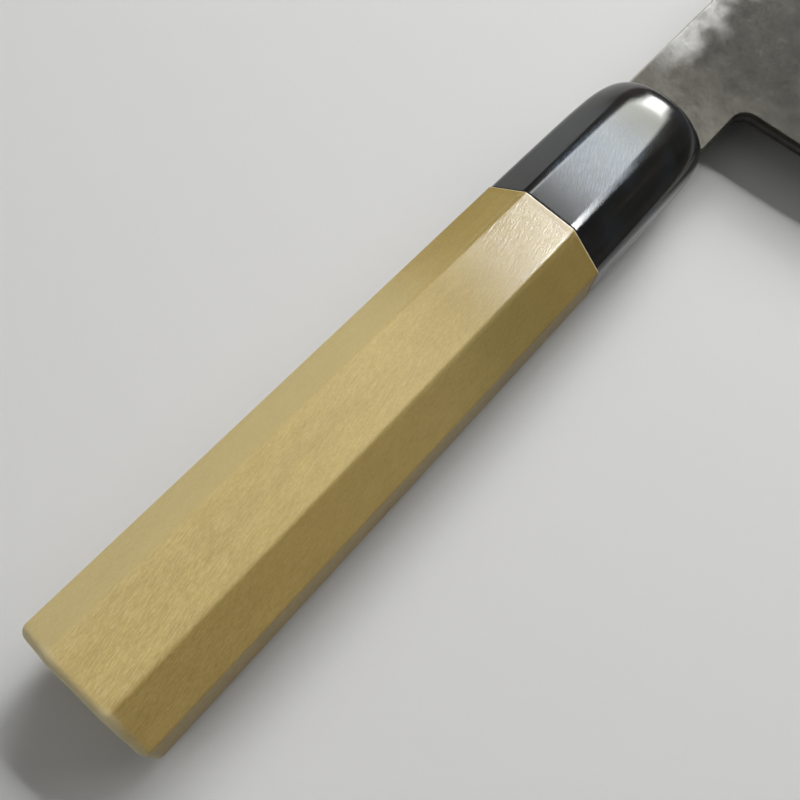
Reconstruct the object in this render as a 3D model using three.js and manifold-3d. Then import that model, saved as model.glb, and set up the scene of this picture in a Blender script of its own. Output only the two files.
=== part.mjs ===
// Gyuto: a chef's knife with a laminated, forged blade whose hidden tang sits in an octagonal wooden handle.
// Millimetres. The knife's own axes: x = 0 at the ferrule's mouth, +x to the tip, +y to the spine,
// +z to the right face.
// The finished knife lies on the left flat of its handle, with the origin at the bottom centre of its box.
import * as THREE from "three";
import { mergeVertices } from "three/addons/utils/BufferGeometryUtils.js";
import Module from "manifold-3d";

// Handle: an octagon that tapers from the butt to the ferrule's mouth.
const BODY_LENGTH = 100;
const FERRULE_LENGTH = 33;
const BUTT_HEIGHT = 24.9;
const BUTT_WIDTH = 21.4;
const BUTT_SIDE_FLAT = 11.9;
const BUTT_SPINE_FLAT = 11.2;
const MOUTH_HEIGHT = 22.8;
const MOUTH_WIDTH = 19.2;
const MOUTH_SIDE_FLAT = 9.4;
const MOUTH_SPINE_FLAT = 7.7;
const WOOD_CORNER_ROUND = 0.5;
const BUTT_ROUND = 1.6;

// Ferrule: corners that soften towards the mouth, and a domed nose that is pulled in to an oval.
const HORN_CORNER_ROUND = 2;
const NOSE_CORNER_ROUND = 4.9;
const CORNER_SOFTENING_POWER = 1.5;
const NOSE_LENGTH = 7.5;
const NOSE_DEPTH = 2.2;
const OVAL_LENGTH = 14;
const OVAL_SHARE = 0.8;

// Tenon: the wood's upright oval stub, which fills the horn ring.
const TENON_HEIGHT = 14.6;
const TENON_WIDTH = 9.6;
const TENON_RECESS = 0.5;
const TENON_CLEARANCE = 0.1;
const JOINT_GAP = 0.1;

// Tang: steps down from the neck at its shoulders and tapers inside the handle.
const TANG_LENGTH = 92;
const TANG_MOUTH_HEIGHT = 9.4;
const TANG_END_HEIGHT = 5;
const TANG_END_THICKNESS = 2;
const SHOULDER_GAP = 0.2;

// Resin round the tang, and the seal that closes the slot at the mouth.
const RESIN_THICKNESS = 0.8;
const RESIN_GAP = 0.1;
const RESIN_END = 2;
const SEAL_DEPTH = 2.2;

// Blade outline.
const EDGE_LENGTH = 210;
const NECK_LENGTH = 13;
const NECK_TOP = 8.5;
const NECK_BOTTOM = -9.7;
const CHOIL_ROUND = 3.2;
const CHOIL_LEAN_DEG = 4;
const HEEL_HEIGHT = 47;
const BELLY_POWER = 2.5;
const TIP_RISE_POWER = 9;
const TIP_RISE_SHARE = 0.3;
const SPINE_DROP = 21;
const SPINE_STRAIGHT = 120;
const SPINE_TIP_RUN = 48;
const SPINE_TIP_DEG = 17;

// Blade thickness: flat faces that thin towards the tip and the edge, then a convex bevel.
const NECK_THICKNESS = 3.5;
const TIP_THICKNESS = 1.3;
const FACE_TAPER_DEG = 0.8;
const HEEL_BEVEL_HEIGHT = 15;
const TIP_BEVEL_HEIGHT = 9;
const BEVEL_FULLNESS = 0.35;

// Laminate: a hard core between two soft iron claddings, forge-welded along its faces.
const HEEL_CORE_THICKNESS = 0.9;
const TIP_CORE_THICKNESS = 0.44;
const WELD_GAP = 0.03;

// Fineness of curved surfaces.
const CORNER_STEPS = 3;
const ROUND_STEPS = 7;
const FERRULE_STEPS = 6;
const EDGE_STATIONS = 40;
const BEVEL_STEPS = 5;
const TENON_SEGMENTS = 16;
const CURVE_DIVISIONS = 36;

// Places that follow from the sizes.
const JOINT_X = -FERRULE_LENGTH;
const HANDLE_LENGTH = FERRULE_LENGTH + BODY_LENGTH;
const BUTT_X = -HANDLE_LENGTH;
const CHOIL_LEAN = THREE.MathUtils.degToRad(CHOIL_LEAN_DEG);
const EDGE_Y = NECK_TOP - HEEL_HEIGHT;
const HEEL_X = NECK_LENGTH + (NECK_BOTTOM - EDGE_Y) * Math.tan(CHOIL_LEAN);
const TIP_X = HEEL_X + EDGE_LENGTH;
const TIP_Y = NECK_TOP - SPINE_DROP;
const SLOT_GROWTH = RESIN_THICKNESS + 2 * RESIN_GAP;
const CUT_MARGIN = 5;

const { lerp, clamp, smoothstep } = THREE.MathUtils;
const wasm = await Module();
wasm.setup();

// Solids and booleans

function solidFrom(geometry) {
  const bare = geometry.clone();
  bare.deleteAttribute("normal");
  bare.deleteAttribute("uv");
  const merged = mergeVertices(bare, 1e-4);
  return new wasm.Manifold(
    new wasm.Mesh({
      numProp: 3,
      vertProperties: merged.attributes.position.array,
      triVerts: new Uint32Array(merged.index.array),
    }),
  );
}

function geometryFrom(solid) {
  const mesh = solid.getMesh();
  const geometry = new THREE.BufferGeometry();
  geometry.setAttribute("position", new THREE.BufferAttribute(mesh.vertProperties, 3));
  geometry.setIndex(new THREE.BufferAttribute(mesh.triVerts, 1));
  geometry.computeVertexNormals();
  return geometry;
}

// A closed skin through rings of equal point counts, each convex and counter-clockwise seen from +x.
function loft(rings) {
  const count = rings[0].length;
  const positions = rings.flat().flatMap((point) => point.toArray());
  const indices = [];
  for (let r = 0; r + 1 < rings.length; r += 1) {
    for (let i = 0; i < count; i += 1) {
      const a = r * count + i;
      const b = r * count + ((i + 1) % count);
      indices.push(a, b, b + count, a, b + count, a + count);
    }
  }
  const last = (rings.length - 1) * count;
  for (let i = 1; i + 1 < count; i += 1) {
    indices.push(0, i + 1, i, last, last + i, last + i + 1);
  }
  const geometry = new THREE.BufferGeometry();
  geometry.setAttribute("position", new THREE.Float32BufferAttribute(positions, 3));
  geometry.setIndex(indices);
  return geometry;
}

// A quarter-round rim as [distance from the end, inset] pairs, from the end face inwards.
function rimSteps(radius) {
  return Array.from({ length: ROUND_STEPS + 1 }, (_, i) => {
    const angle = ((Math.PI / 2) * i) / ROUND_STEPS;
    return [radius * (1 - Math.sin(angle)), radius * (1 - Math.cos(angle))];
  }).reverse();
}

// Handle octagon

// Sizes of the octagon at x, on straight tapers between the butt and the mouth.
function octagonAt(x) {
  const share = (x - BUTT_X) / HANDLE_LENGTH;
  return {
    height: lerp(BUTT_HEIGHT, MOUTH_HEIGHT, share),
    width: lerp(BUTT_WIDTH, MOUTH_WIDTH, share),
    sideFlat: lerp(BUTT_SIDE_FLAT, MOUTH_SIDE_FLAT, share),
    spineFlat: lerp(BUTT_SPINE_FLAT, MOUTH_SPINE_FLAT, share),
  };
}

// The eight corners in (y, z), counter-clockwise seen from +x.
function octagonCorners({ height, width, sideFlat, spineFlat }) {
  const quarter = [
    [height / 2, spineFlat / 2],
    [sideFlat / 2, width / 2],
  ];
  const mirrored = quarter.map(([y, z]) => [-y, z]).reverse();
  const upper = [...quarter, ...mirrored];
  const lower = upper.map(([y, z]) => [-y, -z]);
  return [...upper, ...lower].map(([y, z]) => new THREE.Vector2(y, z));
}

// The octagon at x with every facet moved in by inset and every corner rounded.
function octagonRing(x, inset, cornerRound) {
  const corners = octagonCorners(octagonAt(x));
  return corners.flatMap((corner, i) => {
    const before = corners[(i + 7) % 8];
    const after = corners[(i + 1) % 8];
    const into = corner.clone().sub(before).normalize();
    const out = after.clone().sub(corner).normalize();
    const half = Math.acos(clamp(into.dot(out), -1, 1)) / 2;
    const inward = out.clone().sub(into).normalize();
    const depth = (inset + cornerRound) / Math.cos(half);
    const centre = corner.clone().addScaledVector(inward, depth);
    const start = Math.atan2(-into.x, into.y);
    return Array.from({ length: CORNER_STEPS + 1 }, (_, k) => {
      const angle = start + (2 * half * k) / CORNER_STEPS;
      const y = centre.x + cornerRound * Math.cos(angle);
      const z = centre.y + cornerRound * Math.sin(angle);
      return new THREE.Vector3(x, y, z);
    });
  });
}

// The ferrule's outline at x: the octagon with softer corners, a quarter-oval nose and a pull to an oval.
function hornRing(x) {
  const over = clamp(1 + x / NOSE_LENGTH, 0, 1);
  const inset = NOSE_DEPTH * (1 - Math.sqrt(1 - over * over));
  const softening = (1 + x / FERRULE_LENGTH) ** CORNER_SOFTENING_POWER;
  const cornerRound = lerp(HORN_CORNER_ROUND, NOSE_CORNER_ROUND, softening);
  const { height, width } = octagonAt(x);
  const pull = OVAL_SHARE * smoothstep(x, -OVAL_LENGTH, 0);
  return octagonRing(x, inset, cornerRound).map(({ y, z }) => {
    const toOval = 1 / Math.hypot(y / (height / 2 - inset), z / (width / 2 - inset));
    const scale = lerp(1, toOval, pull);
    return new THREE.Vector3(x, y * scale, z * scale);
  });
}

// Tenon: an upright stadium along x, grown by a clearance.
function tenonSolid(fromX, toX, growth) {
  const radius = TENON_WIDTH / 2 + growth;
  const rise = (TENON_HEIGHT - TENON_WIDTH) / 2;
  const outline = new THREE.Shape();
  outline.absarc(0, rise, radius, 0, Math.PI, false);
  outline.absarc(0, -rise, radius, Math.PI, 2 * Math.PI, false);
  outline.closePath();
  const options = { depth: toX - fromX, bevelEnabled: false, curveSegments: TENON_SEGMENTS };
  const geometry = new THREE.ExtrudeGeometry(outline, options);
  // The outline's (x, y) becomes (z, y) and its depth runs along +x.
  geometry.rotateY(Math.PI / 2).translate(fromX, 0, 0);
  return solidFrom(geometry);
}

// Tang and its slot

function tangHeightAt(x) {
  return lerp(TANG_MOUTH_HEIGHT, TANG_END_HEIGHT, -x / TANG_LENGTH);
}

function tangThicknessAt(x) {
  return lerp(NECK_THICKNESS, TANG_END_THICKNESS, -x / TANG_LENGTH);
}

// A tapered bar that follows the tang from one station to another, grown all round.
function tangSleeve(fromX, toX, growth) {
  const rings = [fromX, toX].map((x) => {
    const y = tangHeightAt(x) / 2 + growth;
    const z = tangThicknessAt(x) / 2 + growth;
    return [
      new THREE.Vector3(x, y, -z),
      new THREE.Vector3(x, y, z),
      new THREE.Vector3(x, -y, z),
      new THREE.Vector3(x, -y, -z),
    ];
  });
  return solidFrom(loft(rings));
}

// Blade

// Height of the cutting edge at x: level behind the heel, then a belly that steepens into the tip.
function edgeY(x) {
  const s = clamp((x - HEEL_X) / EDGE_LENGTH, 0, 1);
  const belly = lerp(s ** BELLY_POWER, s ** TIP_RISE_POWER, TIP_RISE_SHARE);
  return EDGE_Y + (TIP_Y - EDGE_Y) * belly;
}

// Half thickness of the flat face at (x, y): a plane over the blade, another over the tang.
function faceHalf(x, y) {
  if (x <= 0) {
    return tangThicknessAt(x) / 2;
  }
  const taper = (NECK_THICKNESS - TIP_THICKNESS) / 2 / TIP_X;
  const fall = Math.tan(THREE.MathUtils.degToRad(FACE_TAPER_DEG));
  return NECK_THICKNESS / 2 - taper * x - fall * (NECK_TOP - y);
}

// The blade's cross-section at x: flat face down to the bevel, convex bevel down to the edge.
function bladeRing(x) {
  const share = clamp((x - HEEL_X) / EDGE_LENGTH, 0, 1);
  const bevelHeight = lerp(HEEL_BEVEL_HEIGHT, TIP_BEVEL_HEIGHT, share);
  const bottom = edgeY(x);
  const shoulder = bottom + bevelHeight;
  const top = NECK_TOP + CUT_MARGIN;
  const shoulderHalf = faceHalf(x, shoulder);
  const right = [new THREE.Vector3(x, top, faceHalf(x, top))];
  for (let i = BEVEL_STEPS; i > 0; i -= 1) {
    const q = i / BEVEL_STEPS;
    const half = shoulderHalf * ((1 + BEVEL_FULLNESS) * q - BEVEL_FULLNESS * q * q);
    right.push(new THREE.Vector3(x, bottom + bevelHeight * q, half));
  }
  const edge = new THREE.Vector3(x, bottom, 0);
  const left = right.map((p) => new THREE.Vector3(p.x, p.y, -p.z)).reverse();
  return [...right, edge, ...left];
}

function bladeThicknessSolid() {
  const stations = [-TANG_LENGTH - CUT_MARGIN, 0, SHOULDER_GAP, NECK_LENGTH, HEEL_X];
  for (let i = 1; i <= EDGE_STATIONS; i += 1) {
    stations.push(HEEL_X + (EDGE_LENGTH * i) / EDGE_STATIONS);
  }
  return solidFrom(loft(stations.map(bladeRing)));
}

// Side view of blade, neck and tang. Below the edge it runs on, because the bevel ends the blade there.
function bladeOutline() {
  const tipAngle = THREE.MathUtils.degToRad(SPINE_TIP_DEG);
  const bottom = EDGE_Y - CUT_MARGIN;
  const notchX =
    NECK_LENGTH + CHOIL_ROUND * ((1 - Math.sin(CHOIL_LEAN)) * Math.tan(CHOIL_LEAN) - Math.cos(CHOIL_LEAN));
  const shape = new THREE.Shape();
  shape.moveTo(-TANG_LENGTH, -TANG_END_HEIGHT / 2);
  shape.lineTo(SHOULDER_GAP, -tangHeightAt(SHOULDER_GAP) / 2);
  shape.lineTo(SHOULDER_GAP, NECK_BOTTOM);
  shape.lineTo(notchX, NECK_BOTTOM);
  shape.absarc(notchX, NECK_BOTTOM - CHOIL_ROUND, CHOIL_ROUND, Math.PI / 2, CHOIL_LEAN, true);
  shape.lineTo(NECK_LENGTH + (NECK_BOTTOM - bottom) * Math.tan(CHOIL_LEAN), bottom);
  shape.lineTo(TIP_X + CUT_MARGIN, bottom);
  shape.lineTo(TIP_X + CUT_MARGIN, TIP_Y);
  shape.lineTo(TIP_X, TIP_Y);
  shape.bezierCurveTo(
    TIP_X - SPINE_TIP_RUN,
    TIP_Y + SPINE_TIP_RUN * Math.tan(tipAngle),
    HEEL_X + SPINE_STRAIGHT,
    NECK_TOP,
    HEEL_X,
    NECK_TOP,
  );
  shape.lineTo(SHOULDER_GAP, NECK_TOP);
  shape.lineTo(SHOULDER_GAP, tangHeightAt(SHOULDER_GAP) / 2);
  shape.lineTo(-TANG_LENGTH, TANG_END_HEIGHT / 2);
  shape.closePath();
  return shape;
}

function bladeSolid() {
  const depth = NECK_THICKNESS + 2 * CUT_MARGIN;
  const options = { depth, bevelEnabled: false, curveSegments: CURVE_DIVISIONS };
  const plate = new THREE.ExtrudeGeometry(bladeOutline(), options).translate(0, 0, -depth / 2);
  return solidFrom(plate).intersect(bladeThicknessSolid());
}

// A slab between two planes, each at one height over the heel and another over the tip.
function laminateSlab(heelLow, heelHigh, tipLow, tipHigh) {
  const heightAt = (heel, tip, x) => lerp(heel, tip, (x - HEEL_X) / EDGE_LENGTH);
  const rings = [HEEL_X - HANDLE_LENGTH, TIP_X + CUT_MARGIN].map((x) => {
    const top = NECK_TOP + CUT_MARGIN;
    const bottom = EDGE_Y - CUT_MARGIN;
    const low = heightAt(heelLow, tipLow, x);
    const high = heightAt(heelHigh, tipHigh, x);
    return [
      new THREE.Vector3(x, top, low),
      new THREE.Vector3(x, top, high),
      new THREE.Vector3(x, bottom, high),
      new THREE.Vector3(x, bottom, low),
    ];
  });
  return solidFrom(loft(rings));
}

// Pieces

function coreSteel(blade) {
  const heel = HEEL_CORE_THICKNESS / 2;
  const tip = TIP_CORE_THICKNESS / 2;
  return blade.intersect(laminateSlab(-heel, heel, -tip, tip));
}

// The cladding on one side: +1 for the right face, -1 for the left.
function cladding(blade, side) {
  const heel = HEEL_CORE_THICKNESS / 2 + WELD_GAP;
  const tip = TIP_CORE_THICKNESS / 2 + WELD_GAP;
  const outside = NECK_THICKNESS;
  const slab = side > 0
    ? laminateSlab(heel, outside, tip, outside)
    : laminateSlab(-outside, -heel, -outside, -tip);
  return blade.intersect(slab);
}

function handleBody() {
  const rim = rimSteps(BUTT_ROUND).map(([reach, inset]) =>
    octagonRing(BUTT_X + reach, inset, WOOD_CORNER_ROUND),
  );
  const front = octagonRing(JOINT_X - JOINT_GAP, 0, WOOD_CORNER_ROUND);
  const octagon = solidFrom(loft([...rim, front]));
  const tenon = tenonSolid(JOINT_X - CUT_MARGIN, -TENON_RECESS, 0);
  const slot = tangSleeve(-TANG_LENGTH - RESIN_END - RESIN_GAP, CUT_MARGIN, SLOT_GROWTH);
  return octagon.add(tenon).subtract(slot);
}

function hornFerrule() {
  const sides = Array.from({ length: FERRULE_STEPS }, (_, i) =>
    lerp(JOINT_X, -NOSE_LENGTH, i / FERRULE_STEPS),
  );
  const nose = rimSteps(NOSE_LENGTH)
    .map(([reach]) => -reach)
    .reverse();
  const ring = solidFrom(loft([...sides, ...nose].map(hornRing)));
  const bore = tenonSolid(JOINT_X - CUT_MARGIN, CUT_MARGIN, TENON_CLEARANCE);
  return ring.subtract(bore);
}

function tangBedding() {
  const back = -TANG_LENGTH - RESIN_END;
  const front = -TENON_RECESS - SEAL_DEPTH - RESIN_GAP;
  const outside = tangSleeve(back, front, RESIN_GAP + RESIN_THICKNESS);
  const pocket = tangSleeve(-TANG_LENGTH - RESIN_GAP, CUT_MARGIN, RESIN_GAP);
  return outside.subtract(pocket);
}

function mouthSeal() {
  const back = -TENON_RECESS - SEAL_DEPTH;
  const outside = tangSleeve(back, -TENON_RECESS, RESIN_GAP + RESIN_THICKNESS);
  const pocket = tangSleeve(back - CUT_MARGIN, CUT_MARGIN, RESIN_GAP);
  return outside.subtract(pocket);
}

// Finishes

const FINISHES = {
  scale: { color: 0x5a5650, roughness: 0.6, metalness: 0.7 },
  core: { color: 0xb9bcbf, roughness: 0.3, metalness: 1 },
  wood: { color: 0xc9b27c, roughness: 0.55, metalness: 0 },
  horn: { color: 0x100e0d, roughness: 0.15, metalness: 0 },
  resin: { color: 0x5b4426, roughness: 0.4, metalness: 0 },
};

const knife = new THREE.Group();

function addPiece(name, solid, finish) {
  const material = new THREE.MeshStandardMaterial(FINISHES[finish]);
  const mesh = new THREE.Mesh(geometryFrom(solid), material);
  mesh.name = name;
  knife.add(mesh);
}

const blade = bladeSolid();
addPiece("core_steel", coreSteel(blade), "core");
addPiece("cladding_right", cladding(blade, 1), "scale");
addPiece("cladding_left", cladding(blade, -1), "scale");
addPiece("horn_ferrule", hornFerrule(), "horn");
addPiece("handle_body", handleBody(), "wood");
addPiece("tang_bedding", tangBedding(), "resin");
addPiece("mouth_seal", mouthSeal(), "resin");

// Turned about y so that the tapered handle's left flat lies level, then centred over its footprint.
knife.rotation.y = Math.atan2((BUTT_WIDTH - MOUTH_WIDTH) / 2, HANDLE_LENGTH);
const laid = new THREE.Group();
laid.add(knife);
laid.updateMatrixWorld(true);
const box = new THREE.Box3().setFromObject(laid, true);
const centre = box.getCenter(new THREE.Vector3());
knife.position.set(-centre.x, -centre.y, -box.min.z);

export default laid;
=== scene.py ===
import bpy
import numpy as np
from mathutils import Euler, Matrix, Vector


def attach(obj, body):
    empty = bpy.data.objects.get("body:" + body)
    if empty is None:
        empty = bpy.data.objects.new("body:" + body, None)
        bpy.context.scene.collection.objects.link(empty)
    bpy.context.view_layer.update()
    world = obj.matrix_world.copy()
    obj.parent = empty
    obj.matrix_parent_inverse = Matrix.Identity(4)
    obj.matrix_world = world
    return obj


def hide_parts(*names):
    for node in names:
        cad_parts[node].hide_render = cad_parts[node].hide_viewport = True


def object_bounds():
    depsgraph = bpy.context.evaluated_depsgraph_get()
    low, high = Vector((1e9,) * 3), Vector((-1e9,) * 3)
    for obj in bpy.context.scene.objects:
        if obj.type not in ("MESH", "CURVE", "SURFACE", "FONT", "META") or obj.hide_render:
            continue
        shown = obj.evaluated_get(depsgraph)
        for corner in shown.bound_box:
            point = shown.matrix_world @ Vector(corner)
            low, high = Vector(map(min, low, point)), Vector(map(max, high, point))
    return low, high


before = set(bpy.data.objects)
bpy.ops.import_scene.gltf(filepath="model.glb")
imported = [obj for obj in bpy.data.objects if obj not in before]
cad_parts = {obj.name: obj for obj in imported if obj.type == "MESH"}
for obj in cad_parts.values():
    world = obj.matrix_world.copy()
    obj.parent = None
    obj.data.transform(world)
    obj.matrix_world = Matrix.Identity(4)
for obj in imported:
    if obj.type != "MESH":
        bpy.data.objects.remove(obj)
cad_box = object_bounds()
scene = bpy.context.scene
scene.view_settings.view_transform = "Standard"

# Core of the blade: a thin plate of hard steel that runs from the tang to the cutting edge.
# It was forge-welded between two iron claddings, and the grinding of the bevels bared it along the edge.
EDGE_LENGTH = 210.0
HEEL_HEIGHT = 47.0
NECK_LENGTH = 13.0
NECK_TOP = 8.5
NECK_BOTTOM = -9.7
CHOIL_ROUND = 3.2
CHOIL_LEAN = np.radians(4.0)
EDGE_Y = NECK_TOP - HEEL_HEIGHT
HEEL_X = NECK_LENGTH + (NECK_BOTTOM - EDGE_Y) * np.tan(CHOIL_LEAN)
TIP_X = HEEL_X + EDGE_LENGTH
SPINE_DROP = 21.0
TIP_Y = NECK_TOP - SPINE_DROP
SPINE_STRAIGHT = 120.0
SPINE_TIP_RUN = 48.0
SPINE_TIP_ANGLE = np.radians(17.0)
BELLY_POWER = 2.5
TIP_RISE_POWER = 9
TIP_RISE_SHARE = 0.3
HEEL_BEVEL_HEIGHT = 15.0
TIP_BEVEL_HEIGHT = 9.0
BEVEL_FULLNESS = 0.35
TANG_LENGTH = 92.0
TANG_MOUTH_HEIGHT = 9.4
TANG_END_HEIGHT = 5.0
TANG_END_THICKNESS = 2.0
SHOULDER_X = 0.2
NECK_THICKNESS = 3.5
TIP_THICKNESS = 1.3
FACE_THINNING = (NECK_THICKNESS - TIP_THICKNESS) / 2 / TIP_X
FACE_FALL = np.tan(np.radians(0.8))
HEEL_CORE_HALF = 0.45
TIP_CORE_HALF = 0.22
CORE_RIPPLES = ((0.05, 9.0, 0.0), (0.035, 3.7, 1.3), (0.02, 1.9, 0.4))
HANDLE_LENGTH = 133.0
BUTT_WIDTH = 21.4
MOUTH_WIDTH = 19.2
LAY_TURN = np.arctan2((BUTT_WIDTH - MOUTH_WIDTH) / 2, HANDLE_LENGTH)
# The shift puts the tip and the edge on the frame's box and the handle's left flat on the floor.
LAY_SHIFT = np.array([
    1000.0 * cad_box[1][0] - TIP_X * np.cos(LAY_TURN),
    1000.0 * cad_box[0][1] - EDGE_Y,
    BUTT_WIDTH / 2 * np.cos(LAY_TURN) - HANDLE_LENGTH * np.sin(LAY_TURN),
])
CREASE_ANGLE = np.radians(40.0)
CORE_LEAST_RISE = 0.02


def laid(points):
    """Knife axes in millimetres to the frame in metres: a levelling turn about y, then a shift."""
    c, s = np.cos(LAY_TURN), np.sin(LAY_TURN)
    turn = np.array([[c, 0.0, s], [0.0, 1.0, 0.0], [-s, 0.0, c]])
    return (points @ turn.T + LAY_SHIFT) / 1000.0


def add_piece(name, vertices, faces, material):
    """A mesh object from laid vertices and faces, smooth but for creases over the crease angle."""
    mesh = bpy.data.meshes.new(name)
    mesh.from_pydata(vertices.tolist(), [], faces)
    mesh.polygons.foreach_set("use_smooth", np.ones(len(mesh.polygons), dtype=bool))
    mesh.set_sharp_from_angle(angle=CREASE_ANGLE)
    mesh.materials.append(material)
    mesh.update()
    piece = bpy.data.objects.new(name, mesh)
    scene.collection.objects.link(piece)
    return piece


def spine_height(x):
    """A cubic curve: level at the heel and behind it, and down to the tip at its angle."""
    t = np.linspace(0.0, 1.0, 800)[:, None]
    control = np.array([
        [HEEL_X, NECK_TOP],
        [HEEL_X + SPINE_STRAIGHT, NECK_TOP],
        [TIP_X - SPINE_TIP_RUN, TIP_Y + SPINE_TIP_RUN * np.tan(SPINE_TIP_ANGLE)],
        [TIP_X, TIP_Y],
    ])
    basis = np.hstack([(1 - t) ** 3, 3 * t * (1 - t) ** 2, 3 * t**2 * (1 - t), t**3])
    curve = basis @ control
    return np.interp(x, curve[:, 0], curve[:, 1])


def edge_height(x):
    """Level behind the heel, then a belly of two powers of the share of the edge's length."""
    s = np.clip((x - HEEL_X) / EDGE_LENGTH, 0.0, 1.0)
    belly = (1 - TIP_RISE_SHARE) * s**BELLY_POWER + TIP_RISE_SHARE * s**TIP_RISE_POWER
    return EDGE_Y + (TIP_Y - EDGE_Y) * belly


def bevel_height(x):
    """Height of the ground bevel: on a straight line from the heel's to the tip's."""
    s = np.clip((x - HEEL_X) / EDGE_LENGTH, 0.0, 1.0)
    return HEEL_BEVEL_HEIGHT + (TIP_BEVEL_HEIGHT - HEEL_BEVEL_HEIGHT) * s


def flat_half(x, y):
    """Half thickness of the forged flats: a plane that thins to tip and edge; the tang thins to its end."""
    flat = NECK_THICKNESS / 2 - FACE_THINNING * x - FACE_FALL * (NECK_TOP - y)
    tang = NECK_THICKNESS / 2 + (NECK_THICKNESS - TANG_END_THICKNESS) / 2 * x / TANG_LENGTH
    return np.where(x <= 0.0, tang, flat)


def blade_half(x, y):
    """Half thickness anywhere: the flat, or below it a bevel that is a convex parabola down to the edge."""
    low, rise = edge_height(x), bevel_height(x)
    q = np.clip((y - low) / rise, 0.0, 1.0)
    bevel = flat_half(x, low + rise) * ((1 + BEVEL_FULLNESS) * q - BEVEL_FULLNESS * q * q)
    return np.where((q < 1.0) & (x > 0.0), bevel, flat_half(x, y))


def core_half(x):
    """Half thickness of the core, which thins with the blade; slow ripples stand for the hammer's work."""
    s = (x - HEEL_X) / EDGE_LENGTH
    ripple = 1.0 + sum(share * np.sin(x / length + phase) for share, length, phase in CORE_RIPPLES)
    half = HEEL_CORE_HALF + (TIP_CORE_HALF - HEEL_CORE_HALF) * s
    return half * np.where(x > HEEL_X, ripple, 1.0)


def outline_columns():
    """Stations along the knife with the outline's low and high y: tang, neck, notch, choil and edge."""
    tang_x = np.array([-TANG_LENGTH, -60.0, -30.0, -6.0, 0.0, SHOULDER_X])
    tang_fall = (TANG_MOUTH_HEIGHT - TANG_END_HEIGHT) / 2 / TANG_LENGTH
    tang_half = TANG_MOUTH_HEIGHT / 2 + tang_fall * tang_x
    lean = np.tan(CHOIL_LEAN)
    notch_x = NECK_LENGTH + CHOIL_ROUND * ((1 - np.sin(CHOIL_LEAN)) * lean - np.cos(CHOIL_LEAN))
    notch_y = NECK_BOTTOM - CHOIL_ROUND
    neck_x = SHOULDER_X + (notch_x - SHOULDER_X) * np.linspace(0.0, 1.0, 26)
    turn = np.linspace(np.pi / 2, CHOIL_LEAN, 28)[1:]
    arc_x, arc_y = notch_x + CHOIL_ROUND * np.cos(turn), notch_y + CHOIL_ROUND * np.sin(turn)
    choil_x = arc_x[-1] + (HEEL_X - arc_x[-1]) * np.linspace(0.0, 1.0, 40)[1:]
    choil_y = arc_y[-1] - (choil_x - arc_x[-1]) / lean
    start_x = HEEL_X + np.array([0.05, 0.1, 0.17, 0.26, 0.4, 0.6, 0.9, 1.3, 1.8])
    run_x = np.linspace(HEEL_X + 2.4, TIP_X - 5.0, 250)
    end_x = TIP_X - np.geomspace(4.2, 0.02, 16)
    edge_x = np.concatenate([start_x, run_x, end_x])
    x = np.concatenate([tang_x, neck_x, arc_x, choil_x, edge_x])
    neck_y = np.full(neck_x.size, NECK_BOTTOM)
    low = np.concatenate([-tang_half, neck_y, arc_y, choil_y, edge_height(edge_x)])
    high = np.concatenate([tang_half, spine_height(x[tang_x.size:])])
    return x, low, high


def eased(x, y, radius):
    """How far a quarter-round of the given radius lowers the face near spine, neck and choil outlines."""
    column_x, low, high = outline_columns()
    keep = (column_x >= SHOULDER_X) & (column_x <= HEEL_X)
    rim = np.vstack([
        np.column_stack([column_x, high])[column_x > SHOULDER_X],
        np.column_stack([column_x, low])[keep][::-1],
    ])
    points = np.column_stack([x.ravel(), y.ravel()])
    reach = np.full(len(points), np.inf)
    for start, end in zip(rim[:-1], rim[1:]):
        span = end - start
        share = np.clip((points - start) @ span / max(span @ span, 1e-12), 0.0, 1.0)
        reach = np.minimum(reach, np.hypot(*(points - start - share[:, None] * span).T))
    inside = np.clip(radius - reach, 0.0, radius)
    return (radius - np.sqrt(radius**2 - inside**2)).reshape(x.shape)


def closed_plate(upper, lower):
    """A closed plate from two grids of one shape: top, bottom turned over, and a strip round the rim."""
    rows, columns = upper.shape[:2]
    index = np.arange(rows * columns).reshape(rows, columns)
    cells = [index[:-1, :-1], index[1:, :-1], index[1:, 1:], index[:-1, 1:]]
    quads = np.stack(cells, axis=-1).reshape(-1, 4)
    rim = np.concatenate([index[0, :-1], index[:-1, -1], index[-1, :0:-1], index[:0:-1, 0]])
    after = np.roll(rim, -1)
    size = rows * columns
    strip = np.stack([rim, after, after + size, rim + size], axis=-1)
    faces = np.vstack([quads, quads[:, ::-1] + size, strip])
    vertices = np.vstack([upper.reshape(-1, 3), lower.reshape(-1, 3)])
    return vertices, faces.tolist()


def share_rows(low, middle, high, lower_steps, upper_steps):
    """Rows of y for each station: shares of low to middle, then shares of middle to high."""
    first = low + (middle - low) * lower_steps[:, None]
    second = middle + (high - middle) * upper_steps[:, None]
    return np.vstack([first, second])


def blade_zones(piece, x, y):
    """Millimetres above the edge, above the bevel's shoulder and below the spine, kept on every vertex."""
    zone = np.stack([
        y - edge_height(x),
        y - edge_height(x) - bevel_height(x),
        np.where(x > 0.0, spine_height(np.maximum(x, HEEL_X)), 0.0) - y,
    ], axis=-1)
    layer = piece.data.attributes.new("blade_zone", "FLOAT_VECTOR", "POINT")
    layer.data.foreach_set("vector", np.concatenate([zone, zone]).astype(np.float32).ravel())


def weld_line(x):
    """Height where the bevel cuts the core's face, from the bevel's parabola solved for the core's half."""
    low, rise = edge_height(x), bevel_height(x)
    ratio = np.clip(core_half(x) / flat_half(x, low + rise), 0.0, 1.0)
    full = 1 + BEVEL_FULLNESS
    return low + rise * (full - np.sqrt(full**2 - 4 * BEVEL_FULLNESS * ratio)) / (2 * BEVEL_FULLNESS)


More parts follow.
